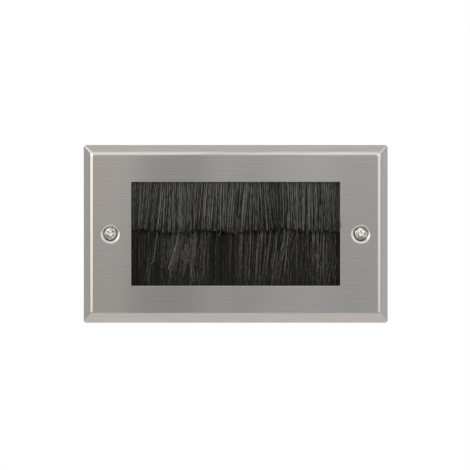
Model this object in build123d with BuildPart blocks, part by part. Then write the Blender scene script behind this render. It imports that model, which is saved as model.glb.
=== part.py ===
from build123d import *
from math import cos, hypot, pi, radians, sin, tan
import os
import random

# Brush wall plate for a double wall box, all sizes in millimetres.
# The rim lies on the wall plane y = 0, the room is at -y and the wall box at +y.
# x runs along the plate and z is up, with the origin in the middle of the plate.

# Faceplate, pressed from one sheet. Its sides stand off the screws and the window.
fixing_centres = 120.6
screw_to_side = 13.2
screw_to_window = 10.05
window_height = 50.0
window_to_top = 18.0
plate_depth = 4.5
sheet = 0.9
bevel_run = 4.0
bend_radius = 1.8
rim_corner_radius = 1.3
face_corner_radius = 1.0
inner_corner_radius = 0.8

# Formed dimples: the cone would meet the face at dimple_radius but for its shoulder
countersink_angle = 90.0
dimple_radius = 4.15
shoulder_radius = 1.6
dimple_blank = 1.4
screw_hole_radius = 2.05

# Box screws, raised countersunk with a cross recess
head_radius = 3.0
head_edge = 0.2
head_dome = 0.75
seat_clearance = 0.03
neck_radius = 1.5
thread_radius = 1.75
thread_start = 0.4
screw_length = 25.0
screw_tip = 0.6
recess_span = 3.4
recess_width = 0.85
recess_depth = 1.5
recess_narrowing = 0.4
left_recess_turn = 45.0
right_recess_turn = 8.0

# Strip brushes: folded channel, core wire and bristles
channel_width = 3.4
channel_height = 4.6
channel_metal = 0.5
channel_mouth = 2.1
channel_overlap = 0.25
channel_bend = 0.7
wire_radius = 0.45
pack_clearance = 0.05
curtain_pitch = 3.3
bristle_pack = 1.9
end_inset = 0.5

# Bristle locks
lock_pitch = 0.8
lock_width = 0.66
lock_thickness = 0.86
lock_row_offset = 0.47
row_spread = 0.2
lock_root = 0.6
upper_tip_height = 1.6
lower_tip_height = 4.0
tip_raggedness = 0.75
lean_sweep = 0.45
lean_jitter = 0.03
lean_wave = 40.0

# Brush frame, moulded
aperture_margin = 0.5
frame_flange = 1.2
frame_wall = 1.6
rail_wall = 2.4
frame_corner_radius = 3.0
lip_height = 0.55
lip_width = 0.8
frame_backing = 0.5
groove_clearance = 0.2
lug_clearance = 6.3
waist_height = 22.0
waist_radius = 1.6
pocket_rib = 1.2
pocket_radius = 0.7

# Clamp bars
bar_thickness = 2.0
bar_land = 0.15
bar_end_gap = 0.8
bar_stiffener_width = 1.6
bar_stiffener_height = 1.0
bar_stiffener_end = 5.0
rib_clearance = 0.15

# Weld studs, washers and nuts
stud_radius = 1.5
stud_flange_radius = 2.1
stud_flange = 0.7
stud_tip = 0.4
stud_proud = 1.1
stud_hole_clearance = 0.2
stud_wall = 1.1
washer_radius = 3.2
washer_thickness = 0.5
nut_flats = 5.5
nut_height = 2.4
nut_chamfer = 0.35
nut_bore_clearance = 0.02

# Planes along the depth, from the front face to the back of the frame
front_y = -plate_depth
sheet_back_y = front_y + sheet
upper_floor_y = sheet_back_y + frame_flange
upper_y = upper_floor_y + channel_width / 2
lower_y = upper_y + curtain_pitch
lower_floor_y = lower_y - channel_width / 2
frame_back_y = lower_y + channel_width / 2 + frame_backing
bar_back_y = frame_back_y + bar_thickness
nut_back_y = bar_back_y + washer_thickness + nut_height
stud_end_y = nut_back_y + stud_proud

# Widths, and heights above the middle of the window, the same below it
plate_width = fixing_centres + 2 * screw_to_side
plate_height = window_height + 2 * window_to_top
window_width = fixing_centres - 2 * screw_to_window
aperture_width = window_width + 2 * aperture_margin
channel_length = aperture_width + 2 * channel_overlap
aperture_height = window_height + 2 * aperture_margin
mouth_z = aperture_height / 2 + lip_width
channel_back_z = mouth_z + channel_height
channel_mid_z = mouth_z + channel_height / 2
groove_length = channel_length + 2 * groove_clearance
corner_block = 2 * (stud_flange_radius + stud_hole_clearance + stud_wall)
frame_width = groove_length + 2 * corner_block
frame_height = 2 * (channel_back_z + groove_clearance + rail_wall)
stud_x = groove_length / 2 + corner_block / 2
stud_places = [(x, z) for z in (channel_mid_z, -channel_mid_z) for x in (-stud_x, stud_x)]


def across(y):
    # The plane square to the depth at y, seen from the room: an extrusion by a
    # positive amount goes to the room and by a negative amount to the wall box.
    return Plane.XZ.offset(-y)


def write(piece, name):
    piece.label = name
    export_step(piece, f"parts/{name}.step")


def tray(width, height, rim_corner, depth, run, face_corner, bend):
    # A solid with bevelled sides, rim on the wall plane and rounded round its face
    with BuildPart() as block:
        with BuildSketch(across(0)):
            RectangleRounded(width, height, rim_corner)
        with BuildSketch(across(-depth)):
            RectangleRounded(width - 2 * run, height - 2 * run, face_corner)
        loft()
        fillet(block.faces().sort_by(Axis.Y)[0].edges(), bend)
    return block.part


os.makedirs("parts", exist_ok=True)

# Faceplate: outer form less inner form, then the window is pierced
rim_wall = sheet * hypot(plate_depth, bevel_run) / plate_depth
inner_depth = plate_depth - sheet
outer_form = tray(
    plate_width,
    plate_height,
    rim_corner_radius,
    plate_depth,
    bevel_run,
    face_corner_radius,
    bend_radius,
)
inner_form = tray(
    plate_width - 2 * rim_wall,
    plate_height - 2 * rim_wall,
    inner_corner_radius,
    inner_depth,
    bevel_run * inner_depth / plate_depth,
    inner_corner_radius,
    bend_radius - sheet,
)

# The dimple is the same sheet, bent over a shoulder into a cone round the screw hole
cone = radians(countersink_angle / 2)
half_sheet = sheet / 2
dimple_edge = dimple_radius + dimple_blank
bend_r = dimple_radius + half_sheet / cos(cone) - half_sheet * tan(cone)
hole_r = screw_hole_radius + half_sheet * cos(cone)
hole_depth = (dimple_radius + half_sheet / cos(cone) - hole_r) / tan(cone)

with BuildPart() as faceplate:
    add(outer_form)
    add(inner_form, mode=Mode.SUBTRACT)
    with BuildSketch(across(front_y)):
        Rectangle(window_width, window_height)
        with Locations((-fixing_centres / 2, 0), (fixing_centres / 2, 0)):
            Circle(dimple_edge)
    extrude(amount=-sheet, mode=Mode.SUBTRACT)
    for screw_x in (-fixing_centres / 2, fixing_centres / 2):
        with BuildSketch(Plane((screw_x, 0, 0))):
            with BuildLine():
                FilletPolyline(
                    (dimple_edge, front_y + half_sheet),
                    (bend_r, front_y + half_sheet),
                    (hole_r, front_y + hole_depth),
                    radius=shoulder_radius - half_sheet,
                )
            trace(line_width=sheet)
        revolve(axis=Axis((screw_x, 0, 0), (0, 1, 0)))
write(faceplate.part, "faceplate")

# Brush frame: a moulded ring round the window, waisted for the lugs of the wall box
side_pocket_low = waist_height / 2 + frame_wall
side_pocket_high = aperture_height / 2
pocket_height = (side_pocket_high - side_pocket_low - pocket_rib) / 2
pocket_width = (frame_width - aperture_width) / 2 - 2 * frame_wall
pocket_x = (frame_width + aperture_width) / 4
pocket_low_z = side_pocket_low + pocket_height / 2
pocket_high_z = side_pocket_high - pocket_height / 2
groove_height = channel_height + groove_clearance
waist_depth = (frame_width - fixing_centres) / 2 + lug_clearance

with BuildPart() as brush_frame:
    with BuildSketch(across(sheet_back_y)):
        RectangleRounded(frame_width, frame_height, frame_corner_radius)
        with Locations((-frame_width / 2, 0), (frame_width / 2, 0)):
            RectangleRounded(2 * waist_depth, waist_height, waist_radius, mode=Mode.SUBTRACT)
        Rectangle(aperture_width, aperture_height, mode=Mode.SUBTRACT)
    extrude(amount=sheet_back_y - frame_back_y)
    with BuildSketch(across(frame_back_y)):
        for x in (-pocket_x, pocket_x):
            for z in (pocket_low_z, pocket_high_z, -pocket_low_z, -pocket_high_z):
                with Locations((x, z)):
                    RectangleRounded(pocket_width, pocket_height, pocket_radius)
    extrude(amount=frame_back_y - upper_floor_y, mode=Mode.SUBTRACT)
    # Each channel lies in a groove, held off the window by a lip that the bristles pass
    for side, floor_y in ((1, upper_floor_y), (-1, lower_floor_y)):
        with BuildSketch(across(frame_back_y)):
            with Locations((0, side * (mouth_z + groove_height / 2))):
                Rectangle(groove_length, groove_height)
        extrude(amount=frame_back_y - floor_y, mode=Mode.SUBTRACT)
        with BuildSketch(across(frame_back_y)):
            with Locations((0, side * (mouth_z - lip_width / 2))):
                Rectangle(aperture_width, lip_width)
        extrude(amount=frame_back_y - floor_y - lip_height, mode=Mode.SUBTRACT)
    with BuildSketch(across(sheet_back_y)):
        with Locations(*stud_places):
            Circle(stud_radius + stud_hole_clearance)
    extrude(amount=sheet_back_y - frame_back_y, mode=Mode.SUBTRACT)
    with BuildSketch(across(sheet_back_y)):
        with Locations(*stud_places):
            Circle(stud_flange_radius + stud_hole_clearance)
    extrude(amount=-stud_flange - stud_hole_clearance, mode=Mode.SUBTRACT)
write(brush_frame.part, "brush_frame")

# Folded channels, open towards the window, with pinched lips
fold_half = (channel_width - channel_metal) / 2
mouth_half = (channel_mouth + channel_metal) / 2
lip_rise = channel_height / 4
wrap_radius = channel_width / 2 - channel_metal - pack_clearance
wire_z = channel_back_z - channel_metal - pack_clearance - wrap_radius
strip_length = channel_length - 2 * end_inset
strips = (("upper", 1, upper_y), ("lower", -1, lower_y))

for name, side, strip_y in strips:
    with BuildPart() as brush_channel:
        with BuildSketch(Plane.YZ.offset(-channel_length / 2)):
            with BuildLine():
                FilletPolyline(
                    (strip_y - mouth_half, side * (mouth_z + channel_metal / 2)),
                    (strip_y - fold_half, side * (mouth_z + lip_rise)),
                    (strip_y - fold_half, side * (channel_back_z - channel_metal / 2)),
                    (strip_y + fold_half, side * (channel_back_z - channel_metal / 2)),
                    (strip_y + fold_half, side * (mouth_z + lip_rise)),
                    (strip_y + mouth_half, side * (mouth_z + channel_metal / 2)),
                    radius=channel_bend,
                )
            trace(line_width=channel_metal)
        extrude(amount=channel_length)
    write(brush_channel.part, f"{name}_brush_channel")

    with BuildPart() as core_wire:
        with BuildSketch(Plane.YZ.offset(-strip_length / 2)):
            with Locations((strip_y, side * wire_z)):
                Circle(wire_radius)
        extrude(amount=strip_length)
    write(core_wire.part, f"{name}_core_wire")


def lean(x, phase):
    # How far a tip drifts sideways: slow waves, so that neighbours never cross
    turn = 2 * pi * x / lean_wave
    return lean_sweep * (sin(turn + phase) + sin(2 * turn + 2 * phase) / 2)


def bristle_locks(side, strip_y, tip_z, seed):
    # Two staggered rows of leaning locks with ragged tips, from the root to tip_z
    dice = random.Random(seed)
    root_z = mouth_z + lock_root
    reach = (strip_length - lock_width) / 2
    locks = []
    for row in (0, 1):
        root_y = strip_y + (row - 0.5) * 2 * lock_row_offset
        tip_y = root_y + (row - 0.5) * 2 * row_spread
        count = int(2 * reach / lock_pitch) - row
        for i in range(count + 1):
            x = (i - count / 2) * lock_pitch
            sway = lean(x, seed) * (1 - (x / reach) ** 4) + dice.uniform(-lean_jitter, lean_jitter)
            end_z = tip_z + dice.uniform(-tip_raggedness, tip_raggedness)
            along = Vector(sway, tip_y - root_y, side * (end_z - root_z))
            with BuildPart() as lock:
                with BuildSketch(Plane.XY.offset(side * root_z)):
                    with Locations((x, root_y)):
                        Polygon(*diamond)
                extrude(amount=along.length, dir=along)
            locks.append(lock.part)
    return locks


# Bristles: folded round the core wire in the channel and cut to their curtain's reach
diamond = (
    (lock_width / 2, 0),
    (0, lock_thickness / 2),
    (-lock_width / 2, 0),
    (0, -lock_thickness / 2),
)
for name, side, strip_y, tip_z, seed in (
    ("upper", 1, upper_y, upper_tip_height, 3),
    ("lower", -1, lower_y, -lower_tip_height, 8),
):
    locks = bristle_locks(side, strip_y, tip_z, seed)
    with BuildPart() as bristles:
        with BuildSketch(Plane.YZ.offset(-strip_length / 2)):
            with Locations((strip_y, side * wire_z)):
                Circle(wrap_radius)
            with Locations((strip_y, side * (mouth_z + wire_z) / 2)):
                Rectangle(bristle_pack, wire_z - mouth_z)
            with Locations((strip_y, side * wire_z)):
                Circle(wire_radius, mode=Mode.SUBTRACT)
        extrude(amount=strip_length)
        add(locks)
    write(bristles.part, f"{name}_bristles")

# Clamp bars: each rib reaches into its groove and holds the channel down
rib_length = groove_length - 2 * rib_clearance
rib_height = groove_height - 2 * rib_clearance
bar_height = 2 * (washer_radius + bar_land)
for name, side, strip_y in strips:
    channel_rear_y = strip_y + channel_width / 2
    with BuildPart() as clamp_bar:
        with BuildSketch(across(frame_back_y)):
            with Locations((0, side * channel_mid_z)):
                SlotOverall(frame_width - 2 * bar_end_gap, bar_height)
        extrude(amount=-bar_thickness)
        with BuildSketch(across(frame_back_y)):
            with Locations((0, side * (mouth_z + groove_height / 2))):
                Rectangle(rib_length, rib_height)
        extrude(amount=frame_back_y - channel_rear_y)
        with BuildSketch(across(bar_back_y)):
            with Locations((0, side * channel_mid_z)):
                SlotOverall(groove_length - 2 * bar_stiffener_end, bar_stiffener_width)
        extrude(amount=-bar_stiffener_height)
        with BuildSketch(across(bar_back_y)):
            with Locations((-stud_x, side * channel_mid_z), (stud_x, side * channel_mid_z)):
                Circle(stud_radius + stud_hole_clearance)
        extrude(amount=bar_thickness, mode=Mode.SUBTRACT)
    write(clamp_bar.part, f"{name}_clamp_bar")

# Weld studs on the back of the sheet, each with a washer and a nut behind the bars
for number, (x, z) in enumerate(stud_places, start=1):
    with BuildPart() as weld_stud:
        with BuildSketch(across(sheet_back_y)):
            with Locations((x, z)):
                Circle(stud_flange_radius)
        extrude(amount=-stud_flange)
        with BuildSketch(across(sheet_back_y)):
            with Locations((x, z)):
                Circle(stud_radius)
        extrude(amount=sheet_back_y - stud_end_y)
        chamfer(weld_stud.faces().sort_by(Axis.Y)[-1].edges(), stud_tip)
    write(weld_stud.part, f"weld_stud_{number}")

    with BuildPart() as washer:
        with BuildSketch(across(bar_back_y)):
            with Locations((x, z)):
                Circle(washer_radius)
                Circle(stud_radius + stud_hole_clearance, mode=Mode.SUBTRACT)
        extrude(amount=-washer_thickness)
    write(washer.part, f"stud_washer_{number}")

    with BuildPart() as nut:
        with BuildSketch(across(nut_back_y)):
            with Locations((x, z)):
                Circle(nut_flats / 2 / cos(pi / 6))
        extrude(amount=nut_height)
        chamfer(nut.edges().filter_by(GeomType.CIRCLE), nut_chamfer)
        with BuildSketch(across(nut_back_y)):
            with Locations((x, z)):
                RegularPolygon(nut_flats / 2, 6, major_radius=False)
        extrude(amount=nut_height, mode=Mode.INTERSECT)
        with BuildSketch(across(nut_back_y)):
            with Locations((x, z)):
                Circle(stud_radius + nut_bore_clearance)
        extrude(amount=nut_height, mode=Mode.SUBTRACT)
    write(nut.part, f"stud_nut_{number}")

# Box screws: cone seated in the dimple, a plain neck through the sheet, then the thread
seat_depth = (dimple_radius - seat_clearance / cos(cone) - head_radius) / tan(cone)
edge_y = front_y + seat_depth
rim_y = edge_y - head_edge
dome_y = rim_y - head_dome
neck_y = edge_y + (head_radius - neck_radius) / tan(cone)
tip_y = rim_y + screw_length
for name, screw_x, turn in (
    ("left", -fixing_centres / 2, left_recess_turn),
    ("right", fixing_centres / 2, right_recess_turn),
):
    with BuildPart() as box_screw:
        with BuildSketch(Plane((screw_x, 0, 0))):
            with BuildLine():
                TangentArc((0, dome_y), (head_radius, rim_y), tangent=(1, 0))
                Polyline(
                    (head_radius, rim_y),
                    (head_radius, edge_y),
                    (neck_radius, neck_y),
                    (neck_radius, thread_start),
                    (thread_radius, thread_start),
                    (thread_radius, tip_y - screw_tip),
                    (thread_radius - screw_tip, tip_y),
                    (0, tip_y),
                    (0, dome_y),
                )
            make_face()
        revolve(axis=Axis((screw_x, 0, 0), (0, 1, 0)))
        for wing_turn in (turn, turn + 90):
            with BuildSketch(across(dome_y)):
                with Locations((screw_x, 0)):
                    Rectangle(recess_span, recess_width, rotation=wing_turn)
            with BuildSketch(across(dome_y + recess_depth)):
                with Locations((screw_x, 0)):
                    Rectangle(
                        recess_span * recess_narrowing,
                        recess_width * recess_narrowing,
                        rotation=wing_turn,
                    )
            loft(mode=Mode.SUBTRACT)
    write(box_screw.part, f"{name}_box_screw")
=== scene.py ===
import math
import random

import bmesh
import bpy
import numpy as np
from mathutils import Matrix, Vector


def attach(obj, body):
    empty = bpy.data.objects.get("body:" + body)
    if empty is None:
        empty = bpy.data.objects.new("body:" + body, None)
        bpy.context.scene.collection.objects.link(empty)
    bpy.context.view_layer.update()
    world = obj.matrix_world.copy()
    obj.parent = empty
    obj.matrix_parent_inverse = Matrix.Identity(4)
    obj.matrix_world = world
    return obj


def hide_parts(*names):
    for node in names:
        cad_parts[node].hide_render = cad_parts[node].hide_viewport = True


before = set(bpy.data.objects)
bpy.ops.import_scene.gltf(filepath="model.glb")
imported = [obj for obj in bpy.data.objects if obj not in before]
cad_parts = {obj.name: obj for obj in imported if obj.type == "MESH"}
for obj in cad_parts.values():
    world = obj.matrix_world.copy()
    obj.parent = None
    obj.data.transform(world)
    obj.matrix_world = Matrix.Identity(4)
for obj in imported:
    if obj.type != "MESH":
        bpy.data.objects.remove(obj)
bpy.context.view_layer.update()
scene = bpy.context.scene
scene.view_settings.view_transform = "Standard"
mm = 0.001
print("frame loaded with", len(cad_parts), "nodes")


# Camera: square on to the plate, its middle a little right of and above the middle of the picture
cameraSetup = {
    "standOff": 704.5,  # mm from the wall plane
    "seenWidth": 227.3,  # mm across the picture at the wall plane
    "aside": -0.34,
    "height": -0.56,
    "sensor": 36.0,
    "clip": (50, 20000),
}


def placeCamera():
    c = cameraSetup
    data = bpy.data.cameras.new("viewCamera")
    data.sensor_width = c["sensor"]
    data.lens = c["sensor"] * c["standOff"] / c["seenWidth"]
    data.clip_start, data.clip_end = (distance * mm for distance in c["clip"])
    camera = bpy.data.objects.new("viewCamera", data)
    camera.location = (c["aside"] * mm, -c["standOff"] * mm, c["height"] * mm)
    camera.rotation_euler = (math.radians(90), 0, 0)
    scene.collection.objects.link(camera)
    scene.camera = camera


placeCamera()
print("camera placed")


# Small tools for nodes
def addNode(tree, kind, inputs=(), **fields):
    # The inputs are by name or number, or all in their order
    node = tree.nodes.new("ShaderNode" + kind)
    for field, value in fields.items():
        setattr(node, field, value)
    for socket, value in inputs.items() if isinstance(inputs, dict) else enumerate(inputs):
        if isinstance(value, bpy.types.NodeSocket):
            tree.links.new(value, node.inputs[socket])
        else:
            node.inputs[socket].default_value = value
    return node


def calc(tree, operation, *values):
    return addNode(tree, "Math", values, operation=operation).outputs[0]


def vectorCalc(tree, operation, *values):
    return addNode(tree, "VectorMath", values, operation=operation).outputs[0]


def remap(tree, value, low, high, fromLow=0.0, fromHigh=1.0):
    inputs = (value, fromLow, fromHigh, low, high)
    return addNode(tree, "MapRange", inputs).outputs["Result"]


def tones(tree, value, dark, light, start=0.0, end=1.0):
    ramp = addNode(tree, "ValToRGB", (value,))
    for element, place, colour in zip(ramp.color_ramp.elements, (start, end), (dark, light)):
        element.position = place
        element.color = (*colour, 1)
    return ramp.outputs["Color"]


def noise(tree, vector, detail, roughness=0.5, scale=1.0):
    inputs = {"Vector": vector, "Scale": scale, "Detail": detail, "Roughness": roughness}
    return addNode(tree, "TexNoise", inputs).outputs["Fac"]


def objectPlace(tree):
    return addNode(tree, "TexCoord").outputs["Object"]


def newGroup(name, inputs, outputs):
    tree = bpy.data.node_groups.new(name, "ShaderNodeTree")
    for label, value in inputs.items():
        socket = tree.interface.new_socket(label, in_out="INPUT", socket_type="NodeSocketFloat")
        socket.default_value = value
    for label in outputs:
        tree.interface.new_socket(label, in_out="OUTPUT", socket_type="NodeSocketFloat")
    return tree, tree.nodes.new("NodeGroupInput"), tree.nodes.new("NodeGroupOutput")


def stretchedPlace(tree, along, across):
    # Object coordinates counted in lengths: along for x, across for y and z, both in mm
    alongRate, acrossRate = (calc(tree, "DIVIDE", 1 / mm, length) for length in (along, across))
    rates = addNode(tree, "CombineXYZ", (alongRate, acrossRate, acrossRate))
    return vectorCalc(tree, "MULTIPLY", objectPlace(tree), rates.outputs[0])


def makeBrushLines():
    # Lines of a belt finish or of rolling, running along x
    sizes = {"Line Length": 30.0, "Line Width": 0.2, "Band Width": 3.0}
    tree, given, result = newGroup("brushLines", sizes, ("Lines", "Bands"))
    length, width, bandWidth = (given.outputs[label] for label in sizes)
    # The difference of two places a little apart has fine lines and no blotches
    fine = stretchedPlace(tree, length, width)
    moved = vectorCalc(tree, "ADD", fine, (0.0, 0.0, 0.55))
    lines = calc(tree, "SUBTRACT", *(noise(tree, place, 2.0, 0.6) for place in (fine, moved)))
    bands = noise(tree, stretchedPlace(tree, length, bandWidth), 2.0, scale=0.5)
    tree.links.new(remap(tree, lines, 0, 1, -0.35, 0.35), result.inputs["Lines"])
    tree.links.new(remap(tree, bands, 0, 1, 0.3, 0.7), result.inputs["Bands"])
    return tree


def makeGrain():
    # Even grain of a moulded, plated or tumbled skin, with broad cloudy patches
    sizes = {"Grain Size": 0.2, "Patch Size": 6.0}
    tree, given, result = newGroup("skinGrain", sizes, ("Grain", "Patches"))
    grainSize, patchSize = (given.outputs[label] for label in sizes)
    grain = noise(tree, stretchedPlace(tree, grainSize, grainSize), 2.0, 0.6)
    patches = noise(tree, stretchedPlace(tree, patchSize, patchSize), 3.0, 0.55)
    tree.links.new(remap(tree, grain, 0, 1, 0.3, 0.7), result.inputs["Grain"])
    tree.links.new(remap(tree, patches, 0, 1, 0.3, 0.7), result.inputs["Patches"])
    return tree


brushLines = makeBrushLines()
skinGrain = makeGrain()


def emptyTree(owner, outputKind):
    owner.use_nodes = True
    tree = owner.node_tree
    tree.nodes.clear()
    return tree, addNode(tree, outputKind).inputs["Surface"]


def newFinish(name, metallic, **fixed):
    material = bpy.data.materials.new(name)
    tree, surface = emptyTree(material, "OutputMaterial")
    shader = addNode(tree, "BsdfPrincipled", {"Metallic": metallic, **fixed})
    tree.links.new(shader.outputs["BSDF"], surface)
    return material, tree, shader


def useGroup(tree, group, *values):
    return addNode(tree, "Group", values, node_tree=group).outputs


def feed(tree, shader, colour, roughness, height=None, lift=0.0, strength=0.5):
    tree.links.new(colour, shader.inputs["Base Color"])
    tree.links.new(roughness, shader.inputs["Roughness"])
    if height is not None:
        bump = {"Height": height, "Distance": lift * mm, "Strength": strength}
        tree.links.new(addNode(tree, "Bump", bump).outputs[0], shader.inputs["Normal"])


# The pressed sheet, which its brushed finish needs too
faceplateShape = {
    "width": 147.0,
    "height": 86.0,
    "depth": 4.5,
    "sheet": 0.9,
    "bevelRun": 4.0,
    "bend": 3.0,
    "rimCorner": 1.3,
    "faceCorner": 2.1,
    "innerCorner": 0.8,
    "leastCorner": 0.16,
    "cornerLoss": 0.63,  # how much a corner tightens for each mm over the bend
    "rimEdge": 0.015,
    "faceLand": 5.6,  # where the flat face starts, in from the outline
    "backLand": 1.4,
    "windowWidth": 100.5,
    "windowHeight": 50.0,
    "windowCorner": 0.3,
    "windowLand": 0.8,
    "cutEdge": 0.11,
    "screwX": 60.3,
    "dimpleRadius": 4.15,
    "dimpleShoulder": 2.0,
    "dimpleLand": 5.5,
    "screwHole": 2.05,
    "holeEdge": 0.06,
    "support": 0.04,  # how far beside a rounding the flats are held
}

plateFinish = {
    "dark": (0.47, 0.452, 0.43),
    "light": (0.61, 0.588, 0.562),
    "smooth": 0.135,
    "rough": 0.16,
    "anisotropy": 1.0,
    "lineLength": 22.0,
    "lineWidth": 0.42,
    "bandWidth": 1.2,
    "bandShare": 0.08,  # of the bands in the colour, the rest is of the lines
    "lift": 0.002,
    "shadeTop": 1.0,  # painted shade in the dimples round the screw heads, most of it low and to the middle
    "shadeLow": 0.08,
    "shadeSide": (-0.2, 0.75),
    "shadeInner": 3.05,
    "shadeOuter": 3.7,
}
# Where painted shade and wear lie round a screw: the way to its low inner side, and y of head and
# shank
screwSurround = {"inward": -0.55, "down": -0.83, "head": -3.4, "shank": -2.2, "shankShare": 0.12}


def roundScrew(tree):
    # How far from the nearer screw's axis, how much to its low inner side, from -1 to 1, and how
    # much on its head rather than its shank
    s = screwSurround
    x, y, up = addNode(tree, "SeparateXYZ", (objectPlace(tree),)).outputs
    outward = calc(tree, "SUBTRACT", calc(tree, "ABSOLUTE", x), faceplateShape["screwX"] * mm)
    squares = [calc(tree, "MULTIPLY", value, value) for value in (outward, up)]
    radius = calc(tree, "SQRT", calc(tree, "ADD", *squares))
    side = calc(tree, "MULTIPLY_ADD", outward, s["inward"], calc(tree, "MULTIPLY", up, s["down"]))
    reach = (s["head"] * mm, s["shank"] * mm)
    onHead = remap(tree, y, 1.0, s["shankShare"], *reach)
    return radius, calc(tree, "DIVIDE", side, radius), onHead


def makePlateFinish():
    p = plateFinish
    material, tree, shader = newFinish("brushedStainless", 1.0, Anisotropic=p["anisotropy"])
    brushed = useGroup(tree, brushLines, p["lineLength"], p["lineWidth"], p["bandWidth"])
    lines = brushed["Lines"]
    mixed = calc(tree, "MULTIPLY", lines, 1 - p["bandShare"])
    mixed = calc(tree, "MULTIPLY_ADD", brushed["Bands"], p["bandShare"], mixed)
    radius, low, _ = roundScrew(tree)
    # Painted shade in the dimple round each screw head, darkest on its low inner side
    lowSideShade = remap(tree, low, p["shadeTop"], p["shadeLow"], *p["shadeSide"])
    ringShade = remap(tree, radius, lowSideShade, 1.0, p["shadeInner"] * mm, p["shadeOuter"] * mm)
    metal = tones(tree, mixed, p["dark"], p["light"])
    colour = vectorCalc(tree, "MULTIPLY", metal, ringShade)
    roughness = remap(tree, lines, p["smooth"], p["rough"])
    feed(tree, shader, colour, roughness, lines, p["lift"])
    # The lines run along x, so the reflections spread along z
    spread = addNode(tree, "CombineXYZ", {"Z": 1.0})
    tree.links.new(spread.outputs[0], shader.inputs["Tangent"])
    return material


screwFinish = {
    "dark": (0.24, 0.23, 0.21),
    "light": (0.9, 0.885, 0.84),
    "toneSpan": (0.25, 1.0),
    "rimTop": 0.8,
    "rimLow": 0.2,  # painted shade at the rim, on the low inner side
    "rimSide": (-0.3, 0.7),
    "rimInner": 2.6,
    "rimOuter": 2.95,
    "smooth": 0.13,
    "rough": 0.3,
    "grainSize": 0.6,
    "patchSize": 1.1,
    "lift": 0.05,
    "wear": 0.6,  # on the shank, and in the mean on the head
    "recessInner": 1.05,  # from here in the recess is painted lighter, a painted highlight
    "recessOuter": 1.5,
    "recessHighlight": 0.55,
}


def makeScrewFinish():
    s = screwFinish
    material, tree, shader = newFinish("nickelPlate", 1.0)
    grain = useGroup(tree, skinGrain, s["grainSize"], s["patchSize"])
    radius, low, onHead = roundScrew(tree)
    # Painted shade at the rim of the head, darkest on its low inner side
    lowSideShade = remap(tree, low, s["rimTop"], s["rimLow"], *s["rimSide"])
    ringShade = remap(tree, radius, 1.0, lowSideShade, s["rimInner"] * mm, s["rimOuter"] * mm)
    wearAndHighlight = calc(tree, "SUBTRACT", grain["Patches"], s["wear"])
    wearAndHighlight = calc(tree, "MULTIPLY_ADD", wearAndHighlight, onHead, s["wear"])
    # Painted highlight: the middle of the recess is lighter, added to the wear patches
    recess = (s["recessInner"] * mm, s["recessOuter"] * mm)
    wearAndHighlight = calc(tree, "ADD", wearAndHighlight, remap(tree, radius, s["recessHighlight"], 0.0, *recess))
    metal = tones(tree, wearAndHighlight, s["dark"], s["light"], *s["toneSpan"])
    colour = vectorCalc(tree, "MULTIPLY", metal, ringShade)
    roughness = remap(tree, wearAndHighlight, s["rough"], s["smooth"])
    feed(tree, shader, colour, roughness, calc(tree, "MULTIPLY", grain["Grain"], onHead), s["lift"])
    return material


def makeGrained(name, sizes, dark, light, rough, lift=0.003, strength=0.4, metallic=1.0, **fixed):
    # rough is the roughness of the dark patches and of the light ones
    material, tree, shader = newFinish(name, metallic, **fixed)
    grain = useGroup(tree, skinGrain, *sizes)
    colour = tones(tree, grain["Patches"], dark, light)
    roughness = remap(tree, grain["Patches"], *rough)
    feed(tree, shader, colour, roughness, grain["Grain"], lift, strength)
    return material


def makeRolled(name, length, width, dark, light, rough):
    material, tree, shader = newFinish(name, 1.0)
    rolled = useGroup(tree, brushLines, length, width, 8 * width)
    colour = tones(tree, rolled["Bands"], dark, light)
    roughness = remap(tree, rolled["Lines"], *rough)
    feed(tree, shader, colour, roughness, rolled["Lines"], 0.003, 0.3)
    return material


nylonFinish = {
    "crimp": (0.5, 0.5, 2.4),  # mm, cells of painted glints, where the crimps would catch the light
    "glintTones": (0.4, 1.65),
    "patch": (6.25, 8.33, 20.0),  # mm, here and there the curtain is warmer
    "patchSpan": (0.52, 0.68),
    "specular": 0.2,
}


def makeBristleFinish(name, dark, light, warm, smooth, rough):
    # Each bristle has its own tone
    n = nylonFinish
    material, tree, shader = newFinish(name, 0.0, IOR=1.53)
    shader.inputs["Specular IOR Level"].default_value = n["specular"]
    own = addNode(tree, "Attribute", attribute_name="tone").outputs["Fac"]

    def cells(size, detail):
        rates = [1 / (length * mm) for length in size]
        return noise(tree, vectorCalc(tree, "MULTIPLY", objectPlace(tree), rates), detail)

    # Painted glints: short lighter stretches along the bristles
    glints = remap(tree, cells(n["crimp"], 1.0), *n["glintTones"], 0.3, 0.7)
    own = calc(tree, "MULTIPLY", own, glints)
    plain = tones(tree, own, dark, light)
    tinted = tones(tree, own, dark, warm)
    share = remap(tree, cells(n["patch"], 2.0), 0.0, 1.0, *n["patchSpan"])
    mixed = addNode(tree, "Mix", {0: share, 6: plain, 7: tinted}, data_type="RGBA")
    feed(tree, shader, mixed.outputs[2], remap(tree, own, rough, smooth))
    return material


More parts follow.
